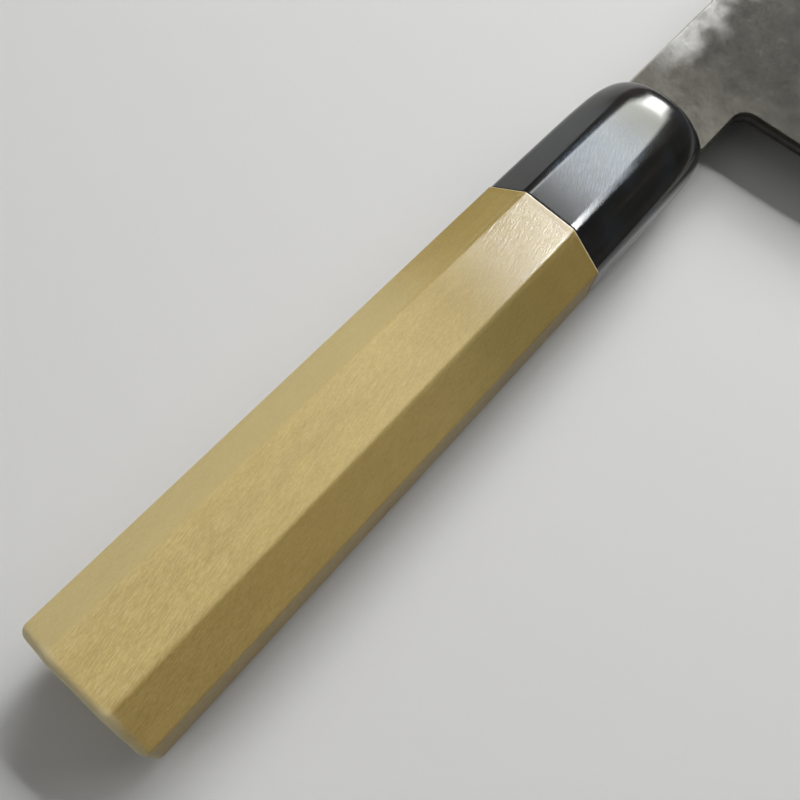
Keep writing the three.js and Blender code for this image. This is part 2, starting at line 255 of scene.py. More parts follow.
def material_nodes(name):
    """A new material with its node tree, its shader and a link maker."""
    material = bpy.data.materials.new(name)
    material.use_nodes = True
    tree = material.node_tree
    return material, tree.nodes, tree.nodes["Principled BSDF"], tree.links.new


def stretched(nodes, link, source, scale, turn=(0.0, 0.0, 0.0)):
    """Object coordinates turned and then stretched, for a pattern that runs along the piece."""
    mapping = nodes.new("ShaderNodeMapping")
    mapping.vector_type = "TEXTURE"
    mapping.inputs["Rotation"].default_value = turn
    mapping.inputs["Scale"].default_value = [1.0 / s for s in scale]
    link(source, mapping.inputs["Vector"])
    return mapping.outputs["Vector"]


def noise(nodes, link, vector, scale, detail, roughness=0.5):
    """A noise field on a vector."""
    node = nodes.new("ShaderNodeTexNoise")
    node.inputs["Scale"].default_value = scale
    node.inputs["Detail"].default_value = detail
    node.inputs["Roughness"].default_value = roughness
    link(vector, node.inputs["Vector"])
    return node.outputs["Fac"]


def ramp(nodes, link, value, stops):
    """A colour ramp through stops of (place, colour)."""
    node = nodes.new("ShaderNodeValToRGB")
    band = node.color_ramp
    while len(band.elements) < len(stops):
        band.elements.new(0.5)
    for element, (place, colour) in zip(band.elements, stops):
        element.position = place
        element.color = (*colour, 1.0)
    link(value, node.inputs["Fac"])
    return node.outputs["Color"]


def spread(nodes, link, value, low, high, to_low, to_high):
    """A value mapped from one range to another, smoothly and clamped."""
    node = nodes.new("ShaderNodeMapRange")
    node.interpolation_type = "SMOOTHSTEP"
    settings = {"From Min": low, "From Max": high, "To Min": to_low, "To Max": to_high}
    for socket, number in settings.items():
        node.inputs[socket].default_value = number
    link(value, node.inputs["Value"])
    return node.outputs["Result"]


def mixed(nodes, link, share, first, second, blend="MIX"):
    """Two colours mixed by a share."""
    node = nodes.new("ShaderNodeMix")
    node.data_type = "RGBA"
    node.blend_type = blend
    sockets = {0: share, 6: first, 7: second}
    for number, source in sockets.items():
        if isinstance(source, (tuple, float)):
            node.inputs[number].default_value = source if isinstance(source, float) else (*source, 1.0)
        else:
            link(source, node.inputs[number])
    return node.outputs[2]


def sums(nodes, link, operation, first, second):
    """One arithmetic step on values."""
    node = nodes.new("ShaderNodeMath")
    node.operation = operation
    for socket, source in zip(node.inputs, (first, second)):
        if isinstance(source, float):
            socket.default_value = source
        else:
            link(source, socket)
    return node.outputs["Value"]


def split(nodes, link, vector):
    """A vector's x, y and z as values."""
    node = nodes.new("ShaderNodeSeparateXYZ")
    link(vector, node.inputs["Vector"])
    return node.outputs["X"], node.outputs["Y"], node.outputs["Z"]


def zone_values(nodes, link):
    """The blade's three zones, as values: above the edge, above the bevel's shoulder, below the spine."""
    layer = nodes.new("ShaderNodeAttribute")
    layer.attribute_name = "blade_zone"
    return split(nodes, link, layer.outputs["Vector"])


def bumped(nodes, link, height, distance, strength, shader):
    """A bump of the given depth in metres on a shader's normal."""
    node = nodes.new("ShaderNodeBump")
    node.inputs["Distance"].default_value = distance
    node.inputs["Strength"].default_value = strength
    link(height, node.inputs["Height"])
    link(node.outputs["Normal"], shader.inputs["Normal"])


steel, nodes, shader, link = material_nodes("ground_core_steel")
place = nodes.new("ShaderNodeTexCoord").outputs["Object"]
above_edge, _, _ = zone_values(nodes, link)
STONE_SLANT = (0.0, 0.0, 0.12)
stone_lines = stretched(nodes, link, place, (120.0, 5200.0, 5200.0), STONE_SLANT)
stone_marks = noise(nodes, link, stone_lines, 1.0, 3.0)
haze = noise(nodes, link, stretched(nodes, link, place, (60.0, 180.0, 180.0)), 1.0, 4.0)
edge_polish = spread(nodes, link, above_edge, 0.35, 0.75, 0.0, 1.0)
bright = mixed(nodes, link, haze, (0.36, 0.365, 0.37), (0.52, 0.525, 0.53))
ground = mixed(nodes, link, edge_polish, (0.68, 0.68, 0.68), bright)
oxide = spread(nodes, link, sums(nodes, link, "ADD", above_edge, haze), 6.2, 7.4, 0.0, 1.0)
blackened = mixed(nodes, link, haze, (0.03, 0.028, 0.025), (0.075, 0.07, 0.061))
link(mixed(nodes, link, oxide, ground, blackened), shader.inputs["Base Color"])
ground_rough = spread(nodes, link, stone_marks, 0.3, 0.7, 0.2, 0.36)
oxide_rough = sums(nodes, link, "MULTIPLY", oxide, 0.3)
link(sums(nodes, link, "ADD", ground_rough, oxide_rough), shader.inputs["Roughness"])
link(spread(nodes, link, oxide, 0.0, 1.0, 1.0, 0.4), shader.inputs["Metallic"])
bumped(nodes, link, stone_marks, 0.00002, 0.25, shader)

column_x, column_low, column_high = outline_columns()
core_middle = np.clip(weld_line(column_x), column_low + CORE_LEAST_RISE, column_high)
core_middle = np.where(column_x <= SHOULDER_X, 0.0, core_middle)
core_y = share_rows(
    column_low, core_middle, column_high,
    np.linspace(0.0, 1.0, 15), np.linspace(0.0, 1.0, 9)[1:],
)
core_x = np.broadcast_to(column_x, core_y.shape)
core_z = np.minimum(core_half(core_x), blade_half(core_x, core_y))
core_right = laid(np.stack([core_x, core_y, core_z], axis=-1))
core_left = laid(np.stack([core_x, core_y, -core_z], axis=-1))
core = add_piece("blade_core", *closed_plate(core_right, core_left), steel)
blade_zones(core, core_x, core_y)
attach(core, "root")
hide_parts("core_steel")

# Claddings: a sheet of soft iron on each face of the core, drawn out under the hammer with it.
# The flats keep their black forge scale, dented by the hammer and rubbed through along the spine.
# The bevels are stone-ground. Along the spine's edge and on the neck by the mouth the colour also holds
# painted light.
WELD_GAP = 0.03
WELD_LIFT = 0.01
BEVEL_LEAST = 0.4
BEVEL_LEAST_SHARE = 0.3
RIM_ROUND = 0.32
DENT_FADE = 4.0
HAMMER_WAVES = ((34.0, 0.03), (19.0, 0.025), (11.0, 0.018), (6.5, 0.01), (3.6, 0.005))
WAVES_EACH = 3


def hammer_marks(x, y, seed):
    """Shallow dents in millimetres: a sum of waves with turned directions and mixed lengths."""
    rng = np.random.default_rng(seed)
    field = np.zeros_like(x)
    for length, depth in HAMMER_WAVES:
        for angle, phase in zip(rng.uniform(0, np.pi, WAVES_EACH), rng.uniform(0, 2 * np.pi, WAVES_EACH)):
            along = x * np.cos(angle) + y * np.sin(angle)
            field += depth / WAVES_EACH * np.sin(along * 2 * np.pi / length + phase)
    return field


scale, nodes, shader, link = material_nodes("forge_scale_iron")
place = nodes.new("ShaderNodeTexCoord").outputs["Object"]
_, above_shoulder, below_spine = zone_values(nodes, link)
patches = noise(nodes, link, place, 190.0, 5.0, 0.6)
specks = noise(nodes, link, place, 1500.0, 3.0, 0.6)
cloud = noise(nodes, link, place, 60.0, 3.0)
pits = noise(nodes, link, place, 700.0, 2.0)
dark = ramp(nodes, link, patches, [
    (0.28, (0.0085, 0.0081, 0.0062)),
    (0.42, (0.0155, 0.0148, 0.0112)),
    (0.56, (0.0212, 0.0202, 0.0156)),
    (0.74, (0.038, 0.0362, 0.0285)),
])
dusted = mixed(nodes, link, spread(nodes, link, specks, 0.35, 0.7, 0.0, 0.1), dark, (0.037, 0.035, 0.029))
browned = mixed(nodes, link, spread(nodes, link, cloud, 0.5, 0.72, 0.0, 0.5), dusted, (0.034, 0.03, 0.0245))
blade_x, _, _ = split(nodes, link, place)
mouth_place = float(LAY_SHIFT[0]) / 1000.0
drift = noise(nodes, link, place, 130.0, 2.0)
rub_reach = sums(nodes, link, "ADD", below_spine, spread(nodes, link, drift, 0.3, 0.7, -3.2, 3.2))
rub_start = spread(nodes, link, blade_x, mouth_place + 0.005, mouth_place + 0.019, 0.0, 1.0)
spine_rub = sums(nodes, link, "MULTIPLY", spread(nodes, link, rub_reach, -0.8, 5.6, 0.56, 0.0), rub_start)
# Paler scale towards the mouth: partly wiped by the hand, partly painted light that keeps the neck brighter
# than the blade.
wiped_and_lit_patches = spread(nodes, link, patches, 0.36, 0.64, 0.5, 0.95)
by_mouth = spread(nodes, link, blade_x, mouth_place, mouth_place + 0.022, 1.0, 0.0)
wiped_and_lit = sums(nodes, link, "MULTIPLY", wiped_and_lit_patches, by_mouth)
paler = mixed(nodes, link, wiped_and_lit, browned, (0.069, 0.0662, 0.053))
brightened = mixed(nodes, link, spine_rub, paler, (0.2, 0.2, 0.194))
# A pale line along the spine's eased edge: partly scale rubbed off there, partly a painted highlight where
# the rounded edge catches the light.
spine_edge_rub_and_highlight = spread(nodes, link, below_spine, 0.1, 0.5, 0.8, 0.0)
flat_colour = mixed(nodes, link, spine_edge_rub_and_highlight, brightened, (0.4, 0.385, 0.35))
stone_lines = stretched(nodes, link, place, (140.0, 3600.0, 3600.0), STONE_SLANT)
stone_marks = noise(nodes, link, stone_lines, 1.0, 3.0)
ground_colour = mixed(nodes, link, stone_marks, (0.24, 0.24, 0.238), (0.34, 0.34, 0.335))
shoulder = sums(nodes, link, "ADD", above_shoulder, spread(nodes, link, patches, 0.3, 0.7, -0.5, 0.5))
forged = spread(nodes, link, shoulder, -0.15, 0.25, 0.0, 1.0)
link(mixed(nodes, link, forged, ground_colour, flat_colour), shader.inputs["Base Color"])
rubbed_metal = spread(nodes, link, spine_rub, 0.0, 0.55, 0.6, 0.8)
flat_metal = sums(nodes, link, "SUBTRACT", rubbed_metal, sums(nodes, link, "MULTIPLY", spine_edge_rub_and_highlight, 0.5))
scale_cover = sums(nodes, link, "MULTIPLY", forged, sums(nodes, link, "SUBTRACT", 1.0, flat_metal))
link(sums(nodes, link, "SUBTRACT", 1.0, scale_cover), shader.inputs["Metallic"])
scale_rough = spread(nodes, link, specks, 0.3, 0.7, 0.5, 0.6)
flat_rough = sums(nodes, link, "SUBTRACT", scale_rough, sums(nodes, link, "MULTIPLY", spine_rub, 0.16))
ground_rough = spread(nodes, link, stone_marks, 0.3, 0.7, 0.32, 0.46)
rough_mix = nodes.new("ShaderNodeMix")
link(forged, rough_mix.inputs[0])
link(ground_rough, rough_mix.inputs[2])
link(flat_rough, rough_mix.inputs[3])
link(rough_mix.outputs[0], shader.inputs["Roughness"])
pit_relief = sums(nodes, link, "MULTIPLY", pits, 0.7)
relief = sums(nodes, link, "ADD", pit_relief, sums(nodes, link, "MULTIPLY", specks, 0.3))
shader.inputs["Specular IOR Level"].default_value = 0.25
bumped(nodes, link, sums(nodes, link, "MULTIPLY", relief, forged), 0.00005, 0.1, shader)

bared_low = np.maximum(column_low, weld_line(column_x) + WELD_LIFT)
clad_low = np.where(column_x > SHOULDER_X, bared_low, column_low)
clad_low = np.minimum(clad_low, column_high)
shoulder_line = edge_height(column_x) + bevel_height(column_x)
least_rise = np.minimum(BEVEL_LEAST, BEVEL_LEAST_SHARE * (column_high - clad_low))
clad_middle = np.clip(shoulder_line, clad_low + least_rise, column_high)
clad_middle = np.where(column_x <= SHOULDER_X, 0.0, clad_middle)
rim_steps = [0.965, 0.98, 0.988, 0.994, 0.9975, 1.0]
upper_steps = np.concatenate([[0.004], np.linspace(0.03, 0.95, 34), rim_steps])
lower_steps = np.concatenate([np.linspace(0.0, 0.97, 18), [0.99, 1.0]])
clad_y = share_rows(clad_low, clad_middle, column_high, lower_steps, upper_steps)
clad_x = np.broadcast_to(column_x, clad_y.shape)
inner_z = np.minimum(core_half(clad_x), blade_half(clad_x, clad_y)) + WELD_GAP
above = clad_y - shoulder_line
on_flat = np.clip(above / DENT_FADE, 0.0, 1.0) * np.clip((clad_x - SHOULDER_X) / DENT_FADE, 0.0, 1.0)
rim_drop = eased(clad_x, clad_y, RIM_ROUND)
for name, side, seed in (("cladding_right", 1.0, 5), ("cladding_left", -1.0, 11)):
    dents = on_flat * hammer_marks(clad_x, clad_y, seed)
    outer_z = np.maximum(blade_half(clad_x, clad_y) - rim_drop + dents, inner_z)
    outer = laid(np.stack([clad_x, clad_y, side * outer_z], axis=-1))
    inner = laid(np.stack([clad_x, clad_y, side * inner_z], axis=-1))
    vertices, faces = closed_plate(outer, inner) if side > 0 else closed_plate(inner, outer)
    clad = add_piece("forged_" + name, vertices, faces, scale)
    blade_zones(clad, clad_x, clad_y)
    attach(clad, "root")
    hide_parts(name)

# Ferrule: a ring of black buffalo horn, bored for the tenon and glued on before the facets were ground.
# Its facets run on from the wood, and buffing has rounded them off towards the mouth.
FERRULE_LENGTH = 33.0
NOSE_LENGTH = 7.5
NOSE_DEPTH = 2.2
OVAL_LENGTH = 14.0
OVAL_SHARE = 0.8
JOINT_CORNER = 2.6
NOSE_CORNER = 4.9
CORNER_SOFTENING_POWER = 1.5
JOINT_EASE = 0.015
TENON_RADIUS = 4.8
TENON_RISE = 2.5
MOUTH_LIP = 0.985
FACET_SUPPORT = 0.14
ARC_POINTS = 9
FLAT_POINTS = 5
BUTT_OCTAGON = np.array([24.9, BUTT_WIDTH, 11.9, 11.2])
MOUTH_OCTAGON = np.array([22.8, MOUTH_WIDTH, 9.4, 7.7])
joint_x = -FERRULE_LENGTH


def octagon_sizes(x):
    """Height, width, side flat and spine flat of the handle at x, on straight tapers from butt to mouth."""
    share = (x + HANDLE_LENGTH) / HANDLE_LENGTH
    return BUTT_OCTAGON * (1 - share) + MOUTH_OCTAGON * share


def octagon_ring(x, inset, corner_round):
    """Points round the octagon at x: facets moved in by inset, corners as arcs, points along the flats."""
    height, width, side_flat, spine_flat = octagon_sizes(x)
    quarter = np.array([[height, spine_flat], [side_flat, width]]) / 2
    upper = np.vstack([quarter, quarter[::-1] * [-1, 1]])
    corners = np.vstack([upper, -upper])
    into = corners - np.roll(corners, 1, axis=0)
    into /= np.linalg.norm(into, axis=1, keepdims=True)
    out = np.roll(into, -1, axis=0)
    half = np.arccos(np.clip((into * out).sum(axis=1), -1, 1)) / 2
    inward = (out - into) / np.linalg.norm(out - into, axis=1, keepdims=True)
    centre = corners + inward * ((inset + corner_round) / np.cos(half))[:, None]
    start = np.arctan2(-into[:, 0], into[:, 1])
    angle = start[:, None] + 2 * half[:, None] * np.linspace(0.0, 1.0, ARC_POINTS)
    arc = centre[:, None] + corner_round * np.stack([np.cos(angle), np.sin(angle)], axis=-1)
    before = arc[:, :1] - FACET_SUPPORT * into[:, None]
    after = arc[:, -1:] + FACET_SUPPORT * out[:, None]
    way = np.linspace(0.0, 1.0, FLAT_POINTS + 2)[1:-1, None]
    flat = after * (1 - way) + np.roll(before, -1, axis=0) * way
    ring = np.concatenate([before, arc, after, flat], axis=1).reshape(-1, 2)
    return np.column_stack([np.full(len(ring), x), ring])


def oval_ring(x, growth, like):
    """The tenon's upright oval at x, at another ring's polar angles: a round end over a straight side."""
    radius = TENON_RADIUS + growth
    angle = np.arctan2(like[:, 2], like[:, 1])
    c, s = np.abs(np.cos(angle)), np.abs(np.sin(angle))
    on_side = radius / np.maximum(s, 1e-9)
    on_end = TENON_RISE * c + np.sqrt(np.maximum(radius**2 - (TENON_RISE * s) ** 2, 0.0))
    reach = np.where(on_side * c <= TENON_RISE, on_side, on_end)
    return np.column_stack([np.full(len(angle), x), reach * np.cos(angle), reach * np.sin(angle)])


def ring_skin(rings, joined):
    """A skin over closed rings of one size; joined also closes the last ring to the first."""
    count, size = len(rings), len(rings[0])
    index = np.arange(count * size).reshape(count, size)
    if joined:
        index = np.vstack([index, index[:1]])
    a, b = index[:-1], np.roll(index[:-1], -1, axis=1)
    c, d = np.roll(index[1:], -1, axis=1), index[1:]
    return np.vstack(rings), np.stack([a, b, c, d], axis=-1).reshape(-1, 4).tolist()


def horn_ring(x):
    """The horn's outline at x: corners rounder to the mouth, a quarter-oval nose, a pull to an oval."""
    way = 1 + x / FERRULE_LENGTH
    over = np.clip(1 + x / NOSE_LENGTH, 0.0, 1.0)
    inset = NOSE_DEPTH * (1 - np.sqrt(1 - over**2))
    corner = JOINT_CORNER + (NOSE_CORNER - JOINT_CORNER) * way**CORNER_SOFTENING_POWER
    ring = octagon_ring(x, inset, corner)
    half_height, half_width = octagon_sizes(x)[:2] / 2 - inset
    t = np.clip(1 + x / OVAL_LENGTH, 0.0, 1.0)
    pull = OVAL_SHARE * t * t * (3 - 2 * t)
    to_oval = 1 / np.hypot(ring[:, 1] / half_height, ring[:, 2] / half_width) - 1
    drawn = 1 + pull * to_oval
    return ring * np.column_stack([np.ones(len(ring)), drawn, drawn])


def station_at(x):
    """Where a plane square to the handle at x meets the frame's x axis, in metres."""
    along = x / np.cos(LAY_TURN) + LAY_SHIFT[0] - np.tan(LAY_TURN) * LAY_SHIFT[2]
    return float(along) / 1000.0


horn, nodes, shader, link = material_nodes("buffed_black_horn")
place = nodes.new("ShaderNodeTexCoord").outputs["Object"]
growth_streaks = noise(nodes, link, stretched(nodes, link, place, (30.0, 420.0, 420.0)), 1.0, 4.0)
blotches = noise(nodes, link, place, 170.0, 4.0)
BUFF_SLANT = (0.0, 0.0, 0.45)
buff_lines = stretched(nodes, link, place, (450.0, 5200.0, 5200.0), BUFF_SLANT)
buff_marks = noise(nodes, link, buff_lines, 1.0, 2.0)
smoky = ramp(nodes, link, growth_streaks, [
    (0.3, (0.004, 0.004, 0.0035)),
    (0.55, (0.008, 0.0075, 0.0065)),
    (0.75, (0.02, 0.015, 0.011)),
])
# Bluish blotches, and bluish buff marks on the middle of the side flats: partly the horn's own buffing
# marks, partly a painted bluish sheen for the light the flats reflect.
pearl = spread(nodes, link, blotches, 0.45, 0.75, 0.0, 0.5)
pearly_and_painted_sheen = mixed(nodes, link, pearl, smoky, (0.016, 0.019, 0.025))
horn_x, _, horn_z = split(nodes, link, place)
start_ends = (station_at(joint_x + 2.05), station_at(joint_x + 10.05))
middle_start = spread(nodes, link, horn_x, *start_ends, 0.0, 1.0)
stop_ends = (station_at(joint_x + 15.05), station_at(joint_x + 25.05))
middle_end = spread(nodes, link, horn_x, *stop_ends, 1.0, 0.0)
middle = sums(nodes, link, "MULTIPLY", middle_start, middle_end)
taper = sums(nodes, link, "MULTIPLY", horn_x, float(2 * np.tan(LAY_TURN)))
right_level = sums(nodes, link, "ADD", horn_z, taper)
right_flat = spread(nodes, link, right_level, 0.01795, 0.01835, 0.0, 1.0)
left_flat = spread(nodes, link, horn_z, 0.0001, 0.0005, 1.0, 0.0)
flats = sums(nodes, link, "MAXIMUM", right_flat, left_flat)
scuffed = spread(nodes, link, buff_marks, 0.3, 0.72, 0.1, 1.0)
scuffs_and_painted_sheen = sums(nodes, link, "MULTIPLY", scuffed, sums(nodes, link, "MULTIPLY", middle, flats))
link(mixed(nodes, link, scuffs_and_painted_sheen, pearly_and_painted_sheen, (0.05, 0.07, 0.1)), shader.inputs["Base Color"])
polish_ends = (station_at(joint_x - 0.15), station_at(joint_x + 6.05))
polish = spread(nodes, link, horn_x, *polish_ends, 0.06, 0.0)
buffed = spread(nodes, link, blotches, 0.3, 0.7, 0.13, 0.19)
link(sums(nodes, link, "SUBTRACT", buffed, polish), shader.inputs["Roughness"])
shader.inputs["IOR"].default_value = 1.56
link(spread(nodes, link, middle, 0.0, 1.0, 0.5, 0.57), shader.inputs["Specular IOR Level"])
# Painted reflection colour: the reflection's tint runs bluish in the middle of the ferrule and warm towards
# the nose, then back to white.
to_mouth = spread(nodes, link, horn_x, station_at(joint_x + 0.05), station_at(0.05), 0.0, 1.0)
link(ramp(nodes, link, to_mouth, [
    (0.0, (0.95, 0.985, 1.0)),
    (0.45, (0.9, 0.965, 1.0)),
    (0.72, (0.9, 0.95, 0.93)),
    (0.88, (0.87, 0.905, 0.8)),
    (0.985, (1.0, 1.0, 0.98)),
]), shader.inputs["Specular Tint"])
bumped(nodes, link, buff_marks, 0.000006, 0.35, shader)

side_steps = [0.05, 0.3, 2.5, 5.0, 7.5, 10.0, 12.5, 15.0, 17.0, 19.0, 21.0, 23.0, 24.2]
side_stations = joint_x + np.array(side_steps)
nose_stations = -NOSE_LENGTH * (1 - np.sin(np.linspace(0.0, np.pi / 2, 26)))
outside = [octagon_ring(joint_x, JOINT_EASE, JOINT_CORNER)]
outside += [horn_ring(x) for x in [*side_stations, *nose_stations]]
mouth = horn_ring(0.0) * [1, MOUTH_LIP, MOUTH_LIP]
bore_growth = ((0.0, 0.45), (-0.1, 0.2), (-0.35, 0.1), (-1.0, 0.1), (joint_x, 0.1))
bore = [oval_ring(x, growth, mouth) for x, growth in bore_growth]
rings = [laid(ring) for ring in [*outside, mouth, *bore]]
ferrule = add_piece("horn_ring", *ring_skin(rings, True), horn)
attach(ferrule, "root")
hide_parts("horn_ferrule")

# Handle: one billet of pale magnolia, planed to an octagon that swells to the butt and left bare.
# The hand has burnished its side flats by the ferrule. A tenon at its front fills the horn ring,
# and a slot burned and cut into it takes the tang.
BUTT_ROUND = 1.6
WOOD_CORNER = 0.9
FRONT_GAP = 0.03
TENON_END = -0.5
SLOT_GROWTH = 1.0
SLOT_OVERRUN = 2.1
FRONT_INSET = 1.5
CLOSING_SHARE = 0.02
butt_x = -HANDLE_LENGTH


def slot_ring(x, like):
    """The tang slot's upright rectangle at x, at the polar angles of another ring."""
    share = -x / TANG_LENGTH
    half_y = (TANG_MOUTH_HEIGHT + (TANG_END_HEIGHT - TANG_MOUTH_HEIGHT) * share) / 2 + SLOT_GROWTH
    half_z = (NECK_THICKNESS + (TANG_END_THICKNESS - NECK_THICKNESS) * share) / 2 + SLOT_GROWTH
    angle = np.arctan2(like[:, 2], like[:, 1])
    c, s = np.cos(angle), np.sin(angle)
    reach = np.minimum(half_y / np.maximum(np.abs(c), 1e-9), half_z / np.maximum(np.abs(s), 1e-9))
    return np.column_stack([np.full(len(angle), x), reach * c, reach * s])


wood, nodes, shader, link = material_nodes("bare_magnolia")
place = nodes.new("ShaderNodeTexCoord").outputs["Object"]
GRAIN_SLANT = (0.0, 0.0, 0.18)
fleck_lines = stretched(nodes, link, place, (850.0, 5600.0, 5600.0), GRAIN_SLANT)
flecks = noise(nodes, link, fleck_lines, 1.0, 2.0, 0.6)
fibre_lines = stretched(nodes, link, place, (260.0, 5400.0, 5400.0), GRAIN_SLANT)
fibres = noise(nodes, link, fibre_lines, 1.0, 3.0)
ring_lines = stretched(nodes, link, place, (5.0, 150.0, 150.0), (0.0, 0.0, 0.02))
rings_tone = noise(nodes, link, ring_lines, 1.0, 3.0)
clouds = noise(nodes, link, stretched(nodes, link, place, (22.0, 90.0, 90.0)), 1.0, 3.0)
straw = ramp(nodes, link, rings_tone, [
    (0.3, (0.444, 0.335, 0.124)),
    (0.5, (0.473, 0.361, 0.138)),
    (0.7, (0.497, 0.384, 0.154)),
])
grey = spread(nodes, link, clouds, 0.5, 0.75, 0.0, 0.35)
greyed = mixed(nodes, link, grey, straw, (0.42, 0.344, 0.172))
wood_x, wood_y, wood_z = split(nodes, link, place)
figure_ends = (station_at(joint_x - 89.0), station_at(joint_x - 53.0))
figure = spread(nodes, link, wood_x, *figure_ends, 1.0, 0.55)
fleck_light = sums(nodes, link, "MULTIPLY", spread(nodes, link, flecks, 0.5, 0.64, 0.0, 0.45), figure)
fleck_dark = sums(nodes, link, "MULTIPLY", spread(nodes, link, flecks, 0.36, 0.48, 0.38, 0.0), figure)
lit = mixed(nodes, link, fleck_light, greyed, (0.554, 0.446, 0.23))
shaded = mixed(nodes, link, fleck_dark, lit, (0.353, 0.257, 0.098))
fibre_tone = ramp(nodes, link, fibres, [(0.3, (0.91, 0.9, 0.88)), (0.7, (1.06, 1.06, 1.05))])
streaked = mixed(nodes, link, figure, shaded, fibre_tone, "MULTIPLY")
pores = noise(nodes, link, place, 2600.0, 2.0, 0.7)
pore_tone = ramp(nodes, link, pores, [(0.3, (0.94, 0.94, 0.93)), (0.7, (1.05, 1.05, 1.05))])
speckled = mixed(nodes, link, 1.0, streaked, pore_tone, "MULTIPLY")
mottle = noise(nodes, link, stretched(nodes, link, place, (220.0, 380.0, 380.0)), 1.0, 3.0)
mottle_tone = ramp(nodes, link, mottle, [(0.3, (0.95, 0.945, 0.93)), (0.7, (1.04, 1.04, 1.045))])
fibred = mixed(nodes, link, 1.0, speckled, mottle_tone, "MULTIPLY")
aside = sums(nodes, link, "SUBTRACT", wood_y, float(LAY_SHIFT[1]) / 1000.0)
# Darker towards the ferrule: partly wood darkened by the hand, partly painted shade where the light falls
# off by the joint.
grip_shade_ends = (station_at(joint_x - 39.0), station_at(joint_x - 5.0))
grip_and_shade = spread(nodes, link, wood_x, *grip_shade_ends, 0.0, 1.0)
grip_shade_tone = mixed(nodes, link, 1.0, fibred, (0.64, 0.605, 0.4), "MULTIPLY")
worn_and_shaded = mixed(nodes, link, grip_and_shade, fibred, grip_shade_tone)
# Painted shade: the flats on the edge side are darker, most of all a little behind the ferrule, as if less
# light fell on them.
edge_side_shade = spread(nodes, link, aside, -0.0062, -0.005, 0.82, 0.0)
edge_shade_ends = (station_at(joint_x - 71.0), station_at(joint_x - 1.0))
edge_shade_tone = ramp(nodes, link, spread(nodes, link, wood_x, *edge_shade_ends, 0.0, 1.0), [
    (0.0, (0.6, 0.54, 0.38)),
    (0.8, (0.49, 0.47, 0.355)),
    (1.0, (0.66, 0.63, 0.55)),
])
edge_shaded = mixed(nodes, link, 1.0, worn_and_shaded, edge_shade_tone, "MULTIPLY")
shade_deepened = mixed(nodes, link, edge_side_shade, worn_and_shaded, edge_shaded)
# Painted sheen: the flats on the spine side are paler away from the grip, for the light that they reflect.
spine_side = spread(nodes, link, aside, 0.005, 0.0062, 0.0, 0.55)
beyond_grip_shade = spread(nodes, link, grip_and_shade, 0.0, 0.8, 1.0, 0.0)
painted_spine_sheen = sums(nodes, link, "MULTIPLY", spine_side, beyond_grip_shade)
sheen_tinted = mixed(nodes, link, painted_spine_sheen, shade_deepened, (0.5, 0.41, 0.2))
level_z = sums(nodes, link, "MULTIPLY", wood_z, float(-np.tan(LAY_TURN)))
station = sums(nodes, link, "ADD", wood_x, level_z)
# The butt's rounded rim is paler, and wider at the corners: partly its pale end grain, partly painted
# light, so that the rim, which faces away from the lamps, reads as bright as the flats.
off_axis = sums(nodes, link, "ABSOLUTE", aside, 0.0)
corner_start = spread(nodes, link, off_axis, 0.003, 0.006, 0.0, 0.0005)
corner_end = spread(nodes, link, off_axis, 0.006, 0.009, 1.0, 0.0)
rim_corner_widening = sums(nodes, link, "MULTIPLY", corner_start, corner_end)
rim_reach = sums(nodes, link, "SUBTRACT", station, rim_corner_widening)
rim_ends = (station_at(butt_x - 0.25), station_at(butt_x + 1.75))
end_grain_and_light = spread(nodes, link, rim_reach, *rim_ends, 0.9, 0.0)
end_grain_lit = mixed(nodes, link, end_grain_and_light, sheen_tinted, (0.7, 0.6, 0.36))
strip_ends = (station_at(joint_x - 1.85), station_at(joint_x - 0.65))
joint_strip = spread(nodes, link, station, *strip_ends, 0.0, 1.0)
strip_tone = mixed(nodes, link, 1.0, end_grain_lit, (0.95, 0.92, 0.84), "MULTIPLY")
dulled = mixed(nodes, link, joint_strip, end_grain_lit, strip_tone)
line_ends = (station_at(joint_x - 0.27), station_at(joint_x - 0.15))
joint_line = spread(nodes, link, station, *line_ends, 0.0, 0.5)
link(mixed(nodes, link, joint_line, dulled, (0.66, 0.6, 0.42)), shader.inputs["Base Color"])
hold_ends = (station_at(joint_x - 29.0), station_at(joint_x - 4.0))
by_ferrule = spread(nodes, link, station, *hold_ends, 0.0, 1.0)
on_side_flat = spread(nodes, link, off_axis, 0.0052, 0.0064, 1.0, 0.0)
handled = sums(nodes, link, "MULTIPLY", by_ferrule, on_side_flat)
bare_rough = spread(nodes, link, flecks, 0.3, 0.7, 0.56, 0.44)
burnished = sums(nodes, link, "SUBTRACT", bare_rough, sums(nodes, link, "MULTIPLY", handled, 0.34))
strip_rough = sums(nodes, link, "MULTIPLY", joint_strip, 0.18)
link(sums(nodes, link, "ADD", burnished, strip_rough), shader.inputs["Roughness"])
link(spread(nodes, link, handled, 0.0, 1.0, 0.4, 1.0), shader.inputs["Specular IOR Level"])
grain = sums(nodes, link, "ADD", fibres, sums(nodes, link, "MULTIPLY", flecks, 0.5))
bumped(nodes, link, grain, 0.00005, 0.75, shader)

